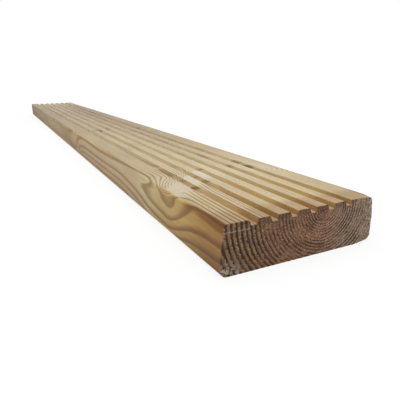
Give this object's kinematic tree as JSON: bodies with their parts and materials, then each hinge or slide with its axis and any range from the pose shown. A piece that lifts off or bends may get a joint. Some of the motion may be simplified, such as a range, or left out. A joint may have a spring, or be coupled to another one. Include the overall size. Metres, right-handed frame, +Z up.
{
  "type": "decking board",
  "caption": "Straight timber decking board with square-sawn ends, eased long edges and a smooth underside, grooved along its top face for grip and drainage.",
  "frame": {"origin": "middle of the underside, the face that lies on the joists", "axes": "+X along the board, towards the end that the picture shows; +Y across the board; +Z up out of the grooved face"},
  "size_m": [1.2, 0.12, 0.033],
  "materials": {
    "treated_softwood": "planed, pressure-treated softwood with a darker, rough-sawn end grain"
  },
  "bodies": {
    "root": {"deck_board": "treated_softwood"}
  },
  "joints": []
}
